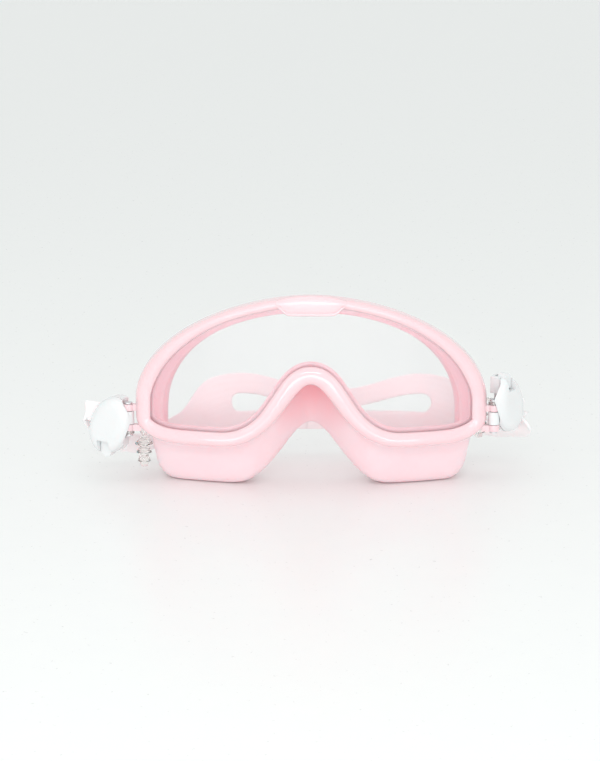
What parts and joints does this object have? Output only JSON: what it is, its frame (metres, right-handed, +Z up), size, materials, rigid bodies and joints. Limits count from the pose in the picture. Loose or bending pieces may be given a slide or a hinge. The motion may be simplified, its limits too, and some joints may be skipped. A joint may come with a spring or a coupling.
{
  "type": "swimming goggles",
  "caption": "Wide swimming goggles with a one-piece lens, soft face skirt, split head strap, swinging side buckles with release levers, and hanging ear plugs.",
  "frame": {"origin": "middle of the ground footprint, on the surface the goggles stand on", "axes": "+X to the right seen from the front, the lens faces -Y, +Z up"},
  "size_m": [0.212, 0.0634, 0.0941],
  "materials": {
    "pink_gloss": "gloss",
    "clear_lens": "clear",
    "pink_silicone": "satin",
    "clear_silicone": "clear gloss",
    "white_plastic": "gloss",
    "steel": "brushed"
  },
  "bodies": {
    "goggles_front": {"frame_rim": "pink_gloss", "brow_clip": "pink_gloss", "lens": "clear_lens", "face_skirt": "pink_silicone", "head_strap": "pink_silicone", "left_hinge_pin": "steel", "right_hinge_pin": "steel"},
    "left_buckle": {"left_buckle_base": "white_plastic", "left_buckle_cover": "white_plastic", "left_strap_bar": "steel", "left_lever_pin": "steel", "left_lever_spring": "steel"},
    "left_lever": {"left_release_lever": "white_plastic"},
    "left_plug": {"left_ear_tether": "clear_silicone", "left_ear_plug": "clear_silicone"},
    "right_buckle": {"right_buckle_base": "white_plastic", "right_buckle_cover": "white_plastic", "right_strap_bar": "steel", "right_lever_pin": "steel", "right_lever_spring": "steel"},
    "right_lever": {"right_release_lever": "white_plastic"},
    "right_plug": {"right_ear_tether": "clear_silicone", "right_ear_plug": "clear_silicone"}
  },
  "joints": [
    {"name": "left_buckle_swing", "type": "hinge", "parent": "goggles_front", "child": "left_buckle", "pos_m": [-0.08369, -0.00972, 0.032], "axis": [0, 0, 1], "range_deg": [-20, 30], "deforming": ["head_strap"]},
    {"name": "left_lever_press", "type": "hinge", "parent": "left_buckle", "child": "left_lever", "pos_m": [-0.09323, -0.00329, 0.024], "axis": [0.848, -0.5299, 0], "range_deg": [0, 5], "stiffness_Nm_per_rad": 0.03, "deforming": ["left_lever_spring"]},
    {"name": "left_plug_swing", "type": "hinge", "parent": "goggles_front", "child": "left_plug", "pos_m": [-0.08369, -0.00972, 0.025], "axis": [0, 0, 1], "range_deg": [-5, 6]},
    {"name": "right_buckle_swing", "type": "hinge", "parent": "goggles_front", "child": "right_buckle", "pos_m": [0.08611, -0.00972, 0.032], "axis": [0, 0, 1], "range_deg": [-45, 5], "deforming": ["head_strap"]},
    {"name": "right_lever_press", "type": "hinge", "parent": "right_buckle", "child": "right_lever", "pos_m": [0.09008, -0.00335, 0.04], "axis": [-0.5736, -0.8192, 0], "range_deg": [0, 5], "stiffness_Nm_per_rad": 0.03, "deforming": ["right_lever_spring"]},
    {"name": "right_plug_swing", "type": "hinge", "parent": "goggles_front", "child": "right_plug", "pos_m": [0.08611, -0.00972, 0.039], "axis": [0, 0, 1], "range_deg": [-6, 5]}
  ]
}
